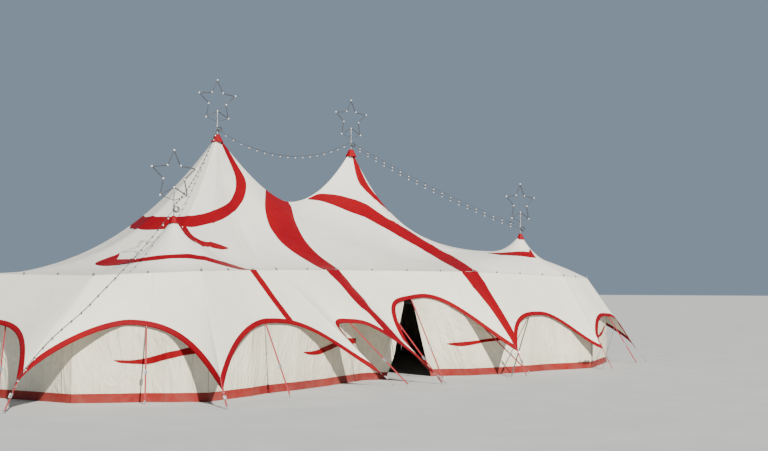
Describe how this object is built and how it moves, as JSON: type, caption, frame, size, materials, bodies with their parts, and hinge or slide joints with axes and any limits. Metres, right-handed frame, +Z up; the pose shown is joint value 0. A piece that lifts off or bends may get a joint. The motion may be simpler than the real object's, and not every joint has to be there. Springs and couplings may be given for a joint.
{
  "type": "circus foyer tent",
  "caption": "Stretched membrane tent on two tall and two small masts, with a scalloped skirt, hanging walls, star ornaments and light strings.",
  "frame": {"origin": "on the ground, under the middle of the tent's bounding box", "axes": "+X along the ridge, to the right as seen from the entrance side; -Y towards the entrance side; +Z up"},
  "size_m": [32.4704, 20.8396, 10.757],
  "materials": {
    "membrane": "coated fabric, satin",
    "cap_red": "coated fabric, satin",
    "steel": "galvanised",
    "cable": "rubber-covered cable with small bulbs"
  },
  "bodies": {
    "root": {"roof_front": "membrane", "roof_front_left": "membrane", "roof_front_right": "membrane", "roof_right_end": "membrane", "roof_back_right": "membrane", "roof_back": "membrane", "roof_back_left": "membrane", "roof_left_end": "membrane", "skirt_front_1": "membrane", "skirt_front_2": "membrane", "skirt_front_3": "membrane", "skirt_entrance": "membrane", "skirt_front_5": "membrane", "skirt_front_6": "membrane", "skirt_right_end": "membrane", "skirt_back_right_end": "membrane", "skirt_back_right": "membrane", "skirt_back": "membrane", "skirt_back_left": "membrane", "skirt_back_left_end": "membrane", "skirt_left_end": "membrane", "wall_front_left_end": "membrane", "wall_front_left": "membrane", "wall_front_right": "membrane", "wall_front_right_end": "membrane", "wall_right_end": "membrane", "wall_back_right_end": "membrane", "wall_back_right": "membrane", "wall_back_left": "membrane", "wall_back_left_end": "membrane", "wall_left_end": "membrane", "side_pole_1": "steel", "side_pole_2": "steel", "side_pole_3": "steel", "side_pole_4": "steel", "side_pole_5": "steel", "side_pole_6": "steel", "side_pole_7": "steel", "side_pole_8": "steel", "side_pole_9": "steel", "side_pole_10": "steel", "side_pole_11": "steel", "side_pole_12": "steel", "side_pole_13": "steel", "side_pole_14": "steel", "side_pole_15": "steel", "mast_tall_left": "steel", "cap_tall_left": "cap_red", "mast_tall_right": "steel", "cap_tall_right": "cap_red", "mast_front_left": "steel", "cap_front_left": "cap_red", "mast_front_right": "steel", "cap_front_right": "cap_red", "string_1": "cable", "string_2": "cable", "string_3": "cable", "string_4": "cable", "string_5": "cable"}
  },
  "joints": []
}
